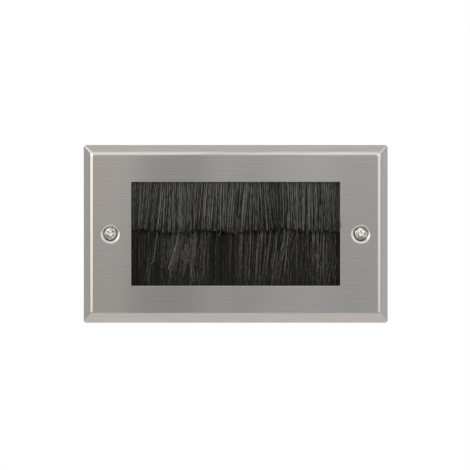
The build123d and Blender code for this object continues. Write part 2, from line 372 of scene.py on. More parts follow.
brushedStainless = makePlateFinish()
nickelPlate = makeScrewFinish()
millFinish = makeRolled(
    "millFinish", 40.0, 0.5, (0.44, 0.43, 0.42), (0.56, 0.55, 0.54), (0.3, 0.45)
)
cutEdge = makeRolled("cutEdge", 0.4, 0.3, (0.50, 0.49, 0.47), (0.66, 0.65, 0.63), (0.35, 0.5))
channelAluminium = makeRolled(
    "channelAluminium", 30.0, 0.25, (0.66, 0.66, 0.67), (0.80, 0.80, 0.81), (0.28, 0.42)
)
zincPlate = makeGrained(
    "zincPlate", (0.15, 4.0), (0.60, 0.62, 0.64), (0.76, 0.77, 0.78), (0.38, 0.22)
)
studSteel = makeGrained(
    "studSteel", (0.15, 4.0), (0.42, 0.40, 0.38), (0.58, 0.56, 0.54), (0.45, 0.3)
)
wireSteel = makeGrained(
    "wireSteel", (0.1, 3.0), (0.50, 0.50, 0.49), (0.66, 0.66, 0.65), (0.4, 0.3)
)
blackMoulding = makeGrained(
    "blackMoulding", (0.22, 9.0), (0.016, 0.016, 0.017), (0.026, 0.026, 0.027), (0.42, 0.58),
    lift=0.02, strength=0.5, metallic=0.0, IOR=1.5,
)
upperNylon = makeBristleFinish(
    "upperNylon", (0.001, 0.001, 0.001), (0.231, 0.233, 0.219), (0.238, 0.226, 0.203), 0.34, 0.5
)
lowerNylon = makeBristleFinish(
    "lowerNylon", (0.001, 0.001, 0.0008), (0.2, 0.2, 0.185), (0.195, 0.186, 0.153), 0.38, 0.54
)
print("finishes made")


# Small tools for meshes, all in mm with x along the plate, y into the wall and z up
def pieceFrom(bm, name, *materials):
    bmesh.ops.remove_doubles(bm, verts=bm.verts, dist=1e-5)
    bmesh.ops.recalc_face_normals(bm, faces=bm.faces)
    bmesh.ops.scale(bm, vec=(mm, mm, mm), verts=bm.verts)
    mesh = bpy.data.meshes.new(name)
    bm.to_mesh(mesh)
    bm.free()
    return placePiece(name, mesh, *materials)


def placePiece(name, mesh, *materials):
    for polygon in mesh.polygons:
        polygon.use_smooth = True
    for material in materials:
        mesh.materials.append(material)
    piece = bpy.data.objects.new(name, mesh)
    scene.collection.objects.link(piece)
    return piece


def roundedLine(corners, steps, support):
    # corners are (u, v, radius): each inner one is rounded, with a point on both sides for the flats
    line = [Vector(corners[0][:2])]
    for before, corner, after in zip(corners, corners[1:], corners[2:]):
        middle = Vector(corner[:2])
        back = (Vector(before[:2]) - middle).normalized()
        ahead = (Vector(after[:2]) - middle).normalized()
        half = back.angle(ahead) / 2
        cut = corner[2] / math.tan(half)
        centre = middle + (back + ahead).normalized() * corner[2] / math.sin(half)
        start = middle + back * cut - centre
        end = middle + ahead * cut - centre
        turn = math.atan2(start.x * end.y - start.y * end.x, start.dot(end))
        line.append(middle + back * (cut + support))
        for k in range(steps + 1):
            line.append(centre + Vector(turned(*start, turn * k / steps)))
        line.append(middle + ahead * (cut + support))
    line.append(Vector(corners[-1][:2]))
    return line


def turned(u, v, angle):
    c, s = math.cos(angle), math.sin(angle)
    return u * c - v * s, u * s + v * c


def roundedRectangle(halfX, halfZ, radius, steps):
    points = []
    for signX, signZ, start in ((1, 1, 0), (-1, 1, 90), (-1, -1, 180), (1, -1, 270)):
        for k in range(steps + 1):
            a = math.radians(start + 90 * k / steps)
            x = signX * (halfX - radius) + radius * math.cos(a)
            z = signZ * (halfZ - radius) + radius * math.sin(a)
            points.append((x, z))
    return points


def ring(bm, points, y):
    return [bm.verts.new((x, y, z)) for x, z in points]


def circleRing(bm, x, radius, y, count, start=0.0, z=0.0):
    angles = [start + 2 * math.pi * k / count for k in range(count)]
    return ring(bm, [(x + radius * math.cos(a), z + radius * math.sin(a)) for a in angles], y)


def skin(bm, rings, material=0):
    # Joins each ring to the next with quads
    for near, far in zip(rings, rings[1:]):
        for k in range(len(near)):
            quad = (near[k - 1], near[k], far[k], far[k - 1])
            bm.faces.new(quad).material_index = material


def fan(bm, circle, tip):
    for k in range(len(circle)):
        bm.faces.new((circle[k - 1], circle[k], tip))


def fillBetween(bm, rings, material):
    edges = [bm.edges.get((r[k - 1], r[k])) for r in rings for k in range(len(r))]
    made = bmesh.ops.triangle_fill(bm, use_beauty=True, edges=edges)
    for item in made["geom"]:
        if isinstance(item, bmesh.types.BMFace):
            item.material_index = material


# Faceplate: one pressed sheet with rounded bends, formed dimples and a pierced window.
# Its materials are 0 brushed at the front, 1 as rolled at the back and 2 on the cut edge.
def buildFaceplate():
    s = faceplateShape
    bm = bmesh.new()
    front = -s["depth"]
    back = front + s["sheet"]
    bevel = math.atan2(s["depth"], s["bevelRun"])
    rimWall = s["sheet"] / math.sin(bevel)
    innerRun = rimWall + s["bevelRun"] * (s["depth"] - s["sheet"]) / s["depth"]
    innerBend = s["bend"] - s["sheet"]
    support = s["support"]

    def edgeRings(section, run, bend, corner, growth):
        crease = run - bend * math.tan(bevel / 2) * math.cos(bevel)
        rings = []
        for u, y in section:
            radius = corner + growth * u - max(0.0, u - crease) * s["cornerLoss"]
            radius = max(s["leastCorner"], radius)
            outline = roundedRectangle(s["width"] / 2 - u, s["height"] / 2 - u, radius, 8)
            rings.append(ring(bm, outline, y))
        return rings

    # Over the edge: face, bend, bevel, rim on the wall plane, then back along the inside
    outer = (
        (s["faceLand"], front, 0),
        (s["bevelRun"], front, s["bend"]),
        (0, 0, s["rimEdge"]),
        (rimWall / 2, 0, 0),
    )
    inner = (
        (rimWall / 2, 0, 0),
        (rimWall, 0, s["rimEdge"]),
        (innerRun, back, innerBend),
        (innerRun + s["backLand"], back, 0),
    )
    growth = (s["faceCorner"] - s["rimCorner"]) / s["bevelRun"]
    outer = roundedLine(outer, 10, support)
    inner = roundedLine(inner, 8, support)[1:]
    outerRings = edgeRings(outer, s["bevelRun"], s["bend"], s["rimCorner"], growth)
    innerRings = edgeRings(inner, innerRun, innerBend, s["innerCorner"], 0.0)
    skin(bm, outerRings, 0)
    skin(bm, [outerRings[-1], *innerRings], 1)

    # Round the window: the pierced edge, broken a little at the front
    pierced = (
        (s["windowLand"], front, 0),
        (0, front, s["cutEdge"]),
        (0, back, s["cutEdge"] / 2),
        (s["windowLand"], back, 0),
    )
    windowRings = []
    for w, y in roundedLine(pierced, 4, support):
        halfX = s["windowWidth"] / 2 + w
        halfZ = s["windowHeight"] / 2 + w
        outline = roundedRectangle(halfX, halfZ, s["windowCorner"] + w, 6)
        windowRings.append(ring(bm, outline, y))
    skin(bm, windowRings[:3], 0)
    skin(bm, windowRings[2:-1], 2)
    skin(bm, windowRings[-2:], 1)

    # Dimples: face, shoulder, cone, hole, then the same on the back
    half = math.radians(45)
    coneEnd = front + s["dimpleRadius"] - s["screwHole"]
    wallStep = s["sheet"] * math.cos(half)
    backCrease = s["dimpleRadius"] + s["sheet"] * math.tan(half / 2)
    formed = (
        (s["dimpleLand"], front, 0),
        (s["dimpleRadius"], front, s["dimpleShoulder"]),
        (s["screwHole"], coneEnd, s["holeEdge"]),
        (s["screwHole"] + wallStep, coneEnd + wallStep, s["holeEdge"]),
        (backCrease, back, s["dimpleShoulder"] - s["sheet"]),
        (s["dimpleLand"], back, 0),
    )
    dimpleSection = roundedLine(formed, 8, support)
    middle = len(dimpleSection) // 2
    dimples = []
    for x in (-s["screwX"], s["screwX"]):
        rings = [circleRing(bm, x, radius, y, 96) for radius, y in dimpleSection]
        skin(bm, rings[: middle + 1], 0)
        skin(bm, rings[middle:], 1)
        dimples.append(rings)

    fillBetween(bm, [outerRings[0], windowRings[0], dimples[0][0], dimples[1][0]], 0)
    fillBetween(bm, [innerRings[-1], windowRings[-1], dimples[0][-1], dimples[1][-1]], 1)
    return pieceFrom(bm, "pressedFaceplate", brushedStainless, millFinish, cutEdge)


faceplate = buildFaceplate()
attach(faceplate, "root")
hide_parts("faceplate")
print("faceplate pressed")


# Threads: rows of points climb with the pitch, and both ends run out into plain rings
def threadSkin(bm, x, z, s, startY, startRadius, count, turn):
    profile = (0.0, 0.12, 1.0, 0.88)  # root to crest and back over one pitch
    rows = len(profile)
    root = s["threadRadius"] - s["threadDepth"]
    endY = s["tipY"] - s["tipChamfer"]
    pitch = s["pitch"]
    total = int((endY - startY) / pitch + 2) * rows
    columns = []
    for k in range(count):
        angle = turn + 2 * math.pi * k / count
        column = []
        for j in range(total + 1):
            y = startY + pitch * (j / rows + k / count - 1)
            if y <= startY:
                y, radius = startY, startRadius
            elif y >= endY:
                y, radius = endY, root
            else:
                fade = min(1.0, (y - startY) / pitch, (endY - y) / pitch)
                radius = root + s["threadDepth"] * profile[j % rows] * fade
            point = (x + radius * math.cos(angle), y, z + radius * math.sin(angle))
            column.append(bm.verts.new(point))
        columns.append(column)
    for k in range(count):
        near = columns[k]
        far = columns[(k + 1) % count]
        shift = rows if k == count - 1 else 0
        for j in range(total):
            low = min(j + shift, total)
            high = min(j + 1 + shift, total)
            quad = (near[j], near[j + 1], far[high], far[low])
            corners = []
            for vert in quad:
                if all((vert.co - other.co).length > 1e-6 for other in corners):
                    corners.append(vert)
            if len(corners) > 2:
                bm.faces.new(corners)


def threadAndTip(bm, x, z, s, startY, startRadius, count, turn=0.0):
    threadSkin(bm, x, z, s, startY, startRadius, count, turn)
    root = s["threadRadius"] - s["threadDepth"]
    tip = [circleRing(bm, x, root, s["tipY"] - s["tipChamfer"], count, turn, z)]
    for inset, below in s["tipRings"]:
        radius = s["threadRadius"] - s["tipChamfer"] - inset
        tip.append(circleRing(bm, x, radius, s["tipY"] - below, count, turn, z))
    skin(bm, tip)
    fan(bm, tip[-1], bm.verts.new((x, s["tipY"], z)))


# Box screws: raised countersunk heads with a cross recess, nickel plated
screwShape = {
    "headRadius": 3.0,
    "domeY": -4.342,
    "rimY": -3.592,
    "edgeY": -3.392,
    "rimEdge": 0.03,
    "seatEdge": 0.05,
    "domeRings": (0.12, 0.35, 0.6, 0.82, 0.94, 0.975),  # of the way from the recess to domeReach
    "domeReach": 2.985,
    "neckRadius": 1.5,
    "neckFillet": 0.25,
    "threadRadius": 1.75,
    "threadStart": 0.4,
    "threadDepth": 0.36,
    "pitch": 0.6,
    "tipY": 21.408,
    "tipChamfer": 0.6,
    "tipRings": ((0.05, 0.04), (0.12, 0.0)),  # further in, and short of the tip
    "recessSpan": 3.4,
    "recessWidth": 0.85,
    "recessDepth": 1.5,
    "recessNarrowing": 0.56,
    "recessPoint": 0.12,
    "recessRings": ((1.5, 0.0), (1.455, 0.02), (0.9, 0.0), (0.36, 0.0), (0.27, 0.03), (0.14, 0.096)),
    "lip": (0.1, 0.16),  # where the recess meets the dome, as depth and growth, like its rings
    "sides": {"left": (-1, 45.0), "right": (1, 8.0)},  # which side, and the degrees it is turned
}


def crossOutline(span, width):
    # Twelve points for each wing, from one inner corner to the next, with a rounded end
    end = 0.6 * width
    straight = span - end - width
    points = []
    for wing in range(4):
        local = [(width, -width)]
        local += [(width + straight * t, -width) for t in (0.33, 0.75)]
        for k in range(7):
            b = math.radians(-72 + 24 * k)
            local.append((span - end + end * math.cos(b), width * math.sin(b)))
        local += [(width + straight * t, width) for t in (0.75, 0.33)]
        points += [turned(u, v, math.pi / 2 * wing) for u, v in local]
    return points


def buildScrew(name, side):
    s = screwShape
    sign, degrees = s["sides"][side]
    x = sign * faceplateShape["screwX"]
    turn = math.radians(degrees)
    start = turn - math.pi / 4
    bm = bmesh.new()
    outline = crossOutline(s["recessSpan"] / 2, s["recessWidth"] / 2)
    count = len(outline)
    rise = s["rimY"] - s["domeY"]
    domeRadius = (s["headRadius"] ** 2 + rise**2) / 2 / rise

    def domeHeight(radius):
        return s["domeY"] + domeRadius - math.sqrt(domeRadius**2 - radius**2)

    def crossRing(depth, grow, onDome=False):
        narrowing = 1 - (1 - s["recessNarrowing"]) * depth / s["recessDepth"]
        placed = []
        for u, v in outline:
            scale = narrowing + grow / math.hypot(u, v)
            px, pz = turned(u * scale, v * scale, turn)
            y = domeHeight(math.hypot(px, pz)) if onDome else s["domeY"] + depth
            placed.append(bm.verts.new((x + px, y, pz)))
        return placed

    rings = [crossRing(depth, grow) for depth, grow in s["recessRings"]]
    rings.append(crossRing(*s["lip"], onDome=True))
    floor = bm.verts.new((x, s["domeY"] + s["recessDepth"] + s["recessPoint"], 0))
    lip = [(vert.co.x - x, vert.co.z) for vert in rings[-1]]
    for t in s["domeRings"]:
        loop = []
        for k, (u, v) in enumerate(lip):
            a = start + 2 * math.pi * k / count
            px = u + (s["domeReach"] * math.cos(a) - u) * t
            pz = v + (s["domeReach"] * math.sin(a) - v) * t
            loop.append(bm.verts.new((x + px, domeHeight(math.hypot(px, pz)), pz)))
        rings.append(loop)
    neckY = s["edgeY"] + s["headRadius"] - s["neckRadius"]
    domeEdge = s["headRadius"] - 2 * s["rimEdge"]
    head = (
        (domeEdge, domeHeight(domeEdge), 0),
        (s["headRadius"], s["rimY"], s["rimEdge"]),
        (s["headRadius"], s["edgeY"], s["seatEdge"]),
        (s["neckRadius"], neckY, s["neckFillet"]),
        (s["neckRadius"], s["threadStart"], 0),
    )
    for radius, y in roundedLine(head, 4, 0.01):
        rings.append(circleRing(bm, x, radius, y, count, start))
    skin(bm, rings)
    fan(bm, rings[0], floor)
    threadAndTip(bm, x, 0, s, s["threadStart"], s["neckRadius"], count, start)
    return pieceFrom(bm, name, nickelPlate)


for side in ("left", "right"):
    screw = buildScrew(f"{side}BoxScrew", side)
    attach(screw, "root")
    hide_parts(f"{side}_box_screw")
print("box screws turned and threaded")


# Weld studs: a flange on the back of the sheet, then a thread up to a chamfered end
studShape = {
    "places": ((-54.6, 28.6), (54.6, 28.6), (-54.6, -28.6), (54.6, -28.6)),
    "baseY": -3.6,
    "baseRing": 0.6,  # radius of the innermost ring on the welded end
    "flangeRadius": 2.1,
    "flangeHeight": 0.7,
    "flangeEdges": (0.05, 0.12),
    "fillet": 0.15,
    "plain": 0.5,  # between the flange and the thread
    "threadRadius": 1.5,
    "threadDepth": 0.3,
    "pitch": 0.5,
    "tipY": 10.8,
    "tipChamfer": 0.4,
    "tipRings": ((0.0, 0.03), (0.05, 0.0)),
}


def buildStud(name, x, z):
    s = studShape
    count = 32
    bm = bmesh.new()
    flangeTop = s["baseY"] + s["flangeHeight"]
    threadStart = flangeTop + s["plain"]
    foot = (
        (s["baseRing"], s["baseY"], 0),
        (s["flangeRadius"], s["baseY"], s["flangeEdges"][0]),
        (s["flangeRadius"], flangeTop, s["flangeEdges"][1]),
        (s["threadRadius"], flangeTop, s["fillet"]),
        (s["threadRadius"], threadStart, 0),
    )
    rings = [circleRing(bm, x, radius, y, count, z=z) for radius, y in roundedLine(foot, 4, 0.01)]
    skin(bm, rings)
    fan(bm, rings[0], bm.verts.new((x, s["baseY"], z)))
    threadAndTip(bm, x, z, s, threadStart, s["threadRadius"], count)
    return pieceFrom(bm, name, studSteel)


for number, (x, z) in enumerate(studShape["places"], start=1):
    stud = buildStud(f"weldStud{number}", x, z)
    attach(stud, "root")
    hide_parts(f"weld_stud_{number}")
print("weld studs threaded")


# Bristles: each is folded over the core wire, so it has a front leg and a back leg.
# They gather in narrow locks and wider clumps, and the inner ones stay straight and close.
bristleShape = {
    "wireHeight": 29.2,  # from the middle of the window, as are the other heights
    "mouthHeight": 26.4,
    "reachX": 50.6,
    "groupedX": 50.35,
    "count": 2550,
    "scatter": 0.02,
    "radius": (0.11, 0.14),
    "foremostShare": 0.1,
    "foremostRadius": (0.145, 0.175),
    "strayRadius": (0.06, 0.085),
    "strayPoints": 15,
    "foldNear": 0.52,
    "foldFar": 1.02,
    "foldTone": 0.3,
    "legShare": 0.83,  # of the fold, as the mouth presses both legs together
    "innerShare": 0.38,
    "innerPlaces": ((0.0, 1.0), (0.0, 1.0)),  # of the points of the front and the back leg
    "outerPlaces": ((0.0, 0.14, 0.3, 0.46, 0.62, 0.8, 1.0), (0.0, 0.33, 0.67, 1.0)),
    "lockLayers": 3,  # in front, and as many behind
}
# How a bristle bends: what the straight inner ones keep of it, and how the sway grows to the tip
bristleBends = {
    "innerLean": 0.35,
    "innerOwnLean": 0.15,
    # painted shade: the inner bristles, deep in the curtain, are darker
    "innerShade": 0.25,
    "wild": 3.0,
    "bowY": 0.06,
    "turns": (1.5, 4.0),
    "unevenTips": 0.22,
    "toClump": (0.03, 0.1),
    "toLock": (0.3, 0.5),
    "lean": 1.15,  # powers of the place along it
    "clump": 1.6,
    "forward": 1.5,
    "ends": 14,  # power that holds them inside both ends of the strip
    "spread": 0.2,
    "clumpLean": 0.1,
    "clumpForward": 0.08,
    "lockForward": 0.1,
    "forwardTone": 0.15,
    "spotTone": 0.1,
}
# Along the strip, as (x, value): "lean" is how far the tips stand aside of their roots, "tips" how
# high they end, "shade" how much lighter or darker they are and "contrast" how unlike each other
curtains = {
    "upper": {
        "side": 1,
        "y": -0.7,
        "seed": 3,
        "lean": (
            (-50, 0), (-45, -1.6), (-41.5, -3.2), (-37.5, -3.2), (-34, -1.3), (-28, -0.3),
            (-24.5, 0), (-21, -0.8), (-17.5, -2), (-12.5, -1.1), (-10, -1.6), (-7, 0),
            (-0.5, -2.4), (3.5, -2.8), (7, -1.2), (9.5, 0), (12.3, 1), (14.5, 2.2),
            (16.2, 2.9), (18.5, 1.7), (21, 0.9), (28, 0.8), (34, -0.5), (38, 0), (42.5, 1.6),
            (47.5, 1.4), (50, 0.4),
        ),
        "tips": (
            (-50, 2.2), (-41, 2.5), (-37, 1.1), (-24, 0.9), (-20, 2.3), (-6, 2.3), (-3, 0.9),
            (5, 0.8), (9, 2), (19, 2.2), (23, 2.9), (30, 2.6), (34, 1.3), (40, 1.9), (46, 1.3),
        ),
        "shade": (
            (-50, 0.7), (-43, 0.75), (-35, 0.95), (-27, 1.35), (-20, 1.1), (-9, 1.45), (-5, 0.8),
            (3, 1.25), (11, 1.2), (16, 0.85), (16.8, 0.2), (20.6, 0.22), (21.6, 1.35), (33, 1.4),
            (37, 0.8), (50, 1.05),
        ),
        "contrast": ((-50, 0.8), (-37, 0.8), (-34, 1), (50, 1)),
        "tone": 0.302,
        # painted shade along the bristles, darker towards the tips
        "tipShade": 0.46,
        "frontEndLight": 1.0,
        "rootContrast": 0.8,
        # painted light and shade: the foremost bristles are lighter and those behind darker, with
        # how much their own tones spread
        "foremost": (1.6, 0.75),
        "behind": (0.7, 0.5),
        "clumpWidth": (1.2, 3),
        "clumpLength": 0.08,
        "lockWidth": (0.36, 0.64),
        "lockLean": 0.16,
        "lockLength": 0.32,
        "lockTone": 1.5,
        "ownLean": 0.14,
        "wave": 0.12,
        "unruly": 0.15,
    },
    "lower": {
        "side": -1,
        "y": 2.6,
        "seed": 8,
        "lean": (
            (-50, 0), (-43, 0.4), (-36, 1.6), (-28, 2.4), (-18, 2.6), (-12, 0.7), (0, 1),
            (9, 1.6), (14, 3.2), (18, 4.6), (22, 3.2), (26, 1), (34, 0.3), (50, 0.2),
        ),
        "tips": ((-50, -4), (50, -4)),
        "shade": (
            (-50, 1.5), (-45, 1.2), (-40.5, 0.6), (-36, 1.2), (-32, 1.4), (-20, 1.3), (-15, 1.3),
            (-11.5, 0.34), (-2, 0.36), (0, 0.9), (7, 1), (14, 0.8), (18, 1), (25, 0.45),
            (30, 0.5), (32, 1.2), (45, 1.3), (50, 2),
        ),
        "contrast": ((-50, 0.35), (-44, 0.35), (-39, 1), (50, 1)),
        "tone": 0.092,
        "tipShade": 0.94,
        "frontEndLight": 2.3,  # painted light, where the upper curtain shades them
        "rootContrast": 0.25,
        # painted light and shade, as for the upper curtain
        "foremost": (1.3, 0.75),
        "behind": (0.72, 0.5),
        "clumpWidth": (1.4, 4.5),
        "clumpLength": 0.15,
        "lockWidth": (0.36, 0.7),
        "lockLean": 0.18,
        "lockLength": 0.3,
        "lockTone": 1.18,
        "ownLean": 0.16,
        "wave": 0.16,
        "unruly": 0.12,
    },
}


def tubeMesh(name, batches, material):
    # One closed three-sided tube for each path, all in one mesh, with a tone for each point.
    # A batch is (paths, tones, radii), with the same number of points in all its paths.
    verts = []
    faces = []
    shades = []
    base = 0
    for paths, tonesOf, radii in batches:
        paths = np.array(paths)
        count, points, _ = paths.shape
        along = np.gradient(paths, axis=1)
        along /= np.linalg.norm(along, axis=2, keepdims=True)
        side = np.array((1.0, 0.0, 0.0)) - along[..., :1] * along
        side /= np.linalg.norm(side, axis=2, keepdims=True)
        out = np.cross(along, side)
        thick = np.array(radii).reshape(-1, 1, 1)
        corners = []
        for k in range(3):
            a = 2 * math.pi * k / 3 + 0.5  # so that no side is square to the front
            corners.append(paths + thick * (math.cos(a) * side + math.sin(a) * out))
        verts += (np.stack(corners, axis=2).reshape(-1, 3) * mm).tolist()
        shades.append(np.repeat(np.array(tonesOf).reshape(-1), 3))
        for _ in range(count):
            faces.append((base + 2, base + 1, base))
            for low in range(base, base + 3 * (points - 1), 3):
                for k in range(3):
                    m = (k + 1) % 3
                    faces.append((low + k, low + m, low + 3 + m, low + 3 + k))
            base += 3 * points
            faces.append((base - 3, base - 2, base - 1))
    mesh = bpy.data.meshes.new(name)
    mesh.from_pydata(verts, [], faces)
    attribute = mesh.attributes.new("tone", "FLOAT", "POINT")
    attribute.data.foreach_set("value", np.concatenate(shades).astype(np.float32))
    return placePiece(name, mesh, material)


def gather(dice, widths, reach, *spreads):
    # Splits the strip into groups of uneven width, each with its own place and habits
    groups = []
    x = -reach
    while x < reach:
        width = dice.uniform(*widths)
        habits = [dice.gauss(0, spread) for spread in spreads]
        # The last habit goes up and down in turn, so that neighbours differ
        habits[-1] = spreads[-1] * dice.uniform(0.7, 1.1) * (1 if len(groups) % 2 else -1)
        groups.append((x + width, x + width / 2, dice.random(), *habits))
        x += width
    return groups


def groupAt(groups, x):
    return next((group for group in groups if x < group[0]), groups[-1])


def alongStrip(stops, x):
    return float(np.interp(x, *zip(*stops)))


def smoothPath(points, count):
    # A smooth line through the points, the same in number for all paths of a batch
    knots = np.array([points[0], *points, points[-1]], float)
    path = []
    for place in np.linspace(0, len(points) - 1, count):
        k = min(int(place), len(points) - 2)
        t = place - k
        a, b, c, d = knots[k : k + 4]
        square = 2 * a - 5 * b + 4 * c - d
        cube = 3 * b - a - 3 * c + d
        path.append((2 * b + (c - a) * t + square * t**2 + cube * t**3) / 2)
    return path


def fromInner(least, loose):
    # Grows from what the inner ones have to the whole
    return least + (1 - least) * loose


def growCurtain(name, material, strays):
    b = bristleShape
    bends = bristleBends
    c = curtains[name]
    dice = random.Random(c["seed"])
    habits = (bends["clumpLean"], bends["clumpForward"], c["clumpLength"])
    clumps = gather(dice, c["clumpWidth"], b["groupedX"], *habits)
    habits = (c["lockLean"], bends["lockForward"], c["lockLength"], c["lockTone"])
    deep = b["lockLayers"]
    layers = [gather(dice, c["lockWidth"], b["groupedX"], *habits) for _ in range(2 * deep)]

    def legPoints(x, offset, layer, places):
        # Mouth to tip: lean of the place, of clump and lock, and the bristle's own bends
        _, clumpX, clumpPull, clumpLean, clumpForward, clumpLength = groupAt(clumps, x)
        locks = layers[(0 if offset < 0 else deep) + min(deep - 1, int(deep * layer))]
        _, lockX, lockPull, lockLean, lockForward, lockLength, lockTone = groupAt(locks, x)
        outer = max(0.0, layer - b["innerShare"]) / (1 - b["innerShare"])
        loose = min(1.0, 3 * outer)
        wild = bends["wild"] if dice.random() < c["unruly"] * outer else 1.0
        lean = alongStrip(c["lean"], x) * fromInner(bends["innerLean"], loose)
        lean += (clumpLean + lockLean) * loose
        lean += dice.gauss(0, c["ownLean"]) * wild * fromInner(bends["innerOwnLean"], loose)
        bow = dice.gauss(0, 2 * c["wave"]) * wild * loose
        bowY = dice.gauss(0, bends["bowY"]) * wild
        turns = dice.uniform(*bends["turns"])
        phase = dice.uniform(0, 2 * math.pi)
        tip = alongStrip(c["tips"], x) - (clumpLength + lockLength) * loose
        tip += dice.gauss(0, bends["unevenTips"])
        clumpPull = (bends["toClump"][0] + bends["toClump"][1] * clumpPull) * loose
        lockPull = (bends["toLock"][0] + bends["toLock"][1] * lockPull) * loose
        outward = math.copysign(1, offset)
        edge = 1 - (abs(x) / b["reachX"]) ** bends["ends"]
        points = []
        for t in places:
            sway = lean * t ** bends["lean"] + bow * math.sin(math.pi * t)
            sway += c["wave"] * loose * t * math.sin(turns * 2 * math.pi * t + phase)
            sway += (clumpX - x) * clumpPull * t ** bends["clump"]
            sway += (lockX - x) * lockPull * min(1.0, 1.5 * t)
            px = max(-b["reachX"], min(b["reachX"], x + sway * edge))
            forward = clumpForward * t ** bends["forward"] + lockForward * min(1.0, 1.6 * t)
            py = c["y"] + offset * b["legShare"] + bowY * math.sin(math.pi * t)
            py += outward * (bends["spread"] * t + forward * loose)
            pz = b["mouthHeight"] + (tip - b["mouthHeight"]) * t
            points.append((px, py, c["side"] * pz))
        # Tones differ by factors, so the dark bristles stay as unlike each other as the light ones
        # Painted light and shade: the foremost bristles are lighter and the ones behind them darker
        layerLight, own = c["foremost" if layer > 1 - b["foremostShare"] else "behind"]
        shade = alongStrip(c["shade"], x)
        # Painted shade: the inner bristles are darker
        tone = c["tone"] * fromInner(bends["innerShade"], loose) * layerLight
        differs = lockTone + bends["forwardTone"] * lockForward / bends["lockForward"]
        differs = (differs + dice.gauss(0, own)) * loose * alongStrip(c["contrast"], x)
        shades = []
        for t in places:
            share = fromInner(c["rootContrast"], min(1.0, 2 * t))
            spot = dice.gauss(0, bends["spotTone"])
            # Painted light on the front ends of the lower curtain's bristles, where the upper
            # curtain shades them
            end = c["frontEndLight"] if offset < 0 and t == 1 else 1.0
            # Painted shade: the tone changes along each bristle towards its tip
            level = tone * c["tipShade"] ** t * end
            shades.append(level * shade**share * math.exp(differs * share + spot))
        return points, shades

    batches = {}
    for i in range(b["count"]):
        x = (2 * (i + 0.5) / b["count"] - 1) * b["reachX"]
        x += dice.uniform(-b["scatter"], b["scatter"])
        layer = (i * 0.618034) % 1  # spreads neighbours evenly over the depth
        fold = b["foldNear"] + (b["foldFar"] - b["foldNear"]) * layer
        inner = layer < b["innerShare"]
        frontPlaces, rearPlaces = b["innerPlaces" if inner else "outerPlaces"]
        front, frontTone = legPoints(x, -fold, layer, frontPlaces)
        rear, rearTone = legPoints(x, fold, layer, rearPlaces)
        top = c["side"] * b["wireHeight"]
        over = []
        for degrees in (180, 90, 0):
            a = math.radians(degrees)
            over.append((x, c["y"] + fold * math.cos(a), top + c["side"] * fold * math.sin(a)))
        paths, shades, radii = batches.setdefault(inner, ([], [], []))
        paths.append(front[::-1] + over + rear)
        shades.append(frontTone[::-1] + [b["foldTone"]] * len(over) + rearTone)
        foremost = layer > 1 - b["foremostShare"]
        radii.append(dice.uniform(*b["foremostRadius" if foremost else "radius"]))
    paths, shades, radii = batches.setdefault("strays", ([], [], []))
    for points, tone in strays(dice):
        paths.append(smoothPath(points, b["strayPoints"]))
        shades.append([tone] * b["strayPoints"])
        radii.append(dice.uniform(*b["strayRadius"]))
    return tubeMesh(f"{name}Bristles", batches.values(), material)


# Strays of the upper curtain: long ones that hang below the tips, some hooked at the end, a few at
# the right that are caught in front of the window's edge, and short fluff
longStrays = (
    (
        (-37.2, -1.0, 12.0), (-37.9, -0.8, 0.9), (-38.9, -0.6, -6.1), (-39.3, -0.5, -10.5),
        (-40.5, -0.6, -14.2), (-41.5, -0.7, -13.8),
    ),
    (
        (-24.6, -1.2, 11.0), (-27.0, -0.9, 1.4), (-28.9, -0.7, -6.1), (-30.5, -0.6, -11.5),
        (-31.3, -0.6, -15.2),
    ),
    (
        (-25.3, -1.1, 9.0), (-27.3, -0.8, 0.6), (-29.2, -0.6, -6.5), (-30.9, -0.5, -12.5),
        (-32.4, -0.6, -16.3), (-31.4, -0.7, -17.4), (-30.0, -0.7, -17.1),
    ),
    ((-6.6, -1.3, 10.0), (-7.3, -1.3, 2.0), (-8.1, -1.1, -0.9)),
    ((22.6, -1.0, 9.0), (23.6, -0.8, 1.4), (23.2, -0.6, -3.6), (22.1, -0.5, -8.2)),
)
caughtTips = ((49.6, 3.4, 50.7), (49.8, 4.2, 51.0), (49.9, 2.7, 50.8), (49.4, 4.9, 50.5))
upperFluff = {"count": 26, "reachX": 48, "end": 1.5, "longer": 0.9, "sway": 0.5, "tone": (0.1, 0.7)}
strayHabits = {"pairX": 0.12, "pairY": 0.06, "longTone": 0.8, "caughtTone": 0.3}


def upperStrays(dice):
    h = strayHabits
    for points in longStrays:
        for _ in range(2):
            dx, dy = dice.gauss(0, h["pairX"]), dice.gauss(0, h["pairY"])
            yield [(x + dx, y + dy, z) for x, y, z in points], h["longTone"]
    for x, z, reach in caughtTips:
        points = [(x - 0.4, -1.6, 24.0), (x - 0.2, -2.6, 12.0), (x, -4.1, z + 4)]
        points += [(x + 0.2, -4.72, z + 1.8), (reach, -4.78, z)]
        yield points, h["caughtTone"]
    f = upperFluff
    for _ in range(f["count"]):
        x = dice.uniform(-f["reachX"], f["reachX"])
        z = f["end"] - abs(dice.gauss(0, f["longer"]))
        sway = dice.gauss(0, f["sway"])
        points = [(x, -1.5, 14.0), (x + sway / 2, -1.8, 6.0), (x + sway, -1.9, z)]
        yield points, dice.uniform(*f["tone"])


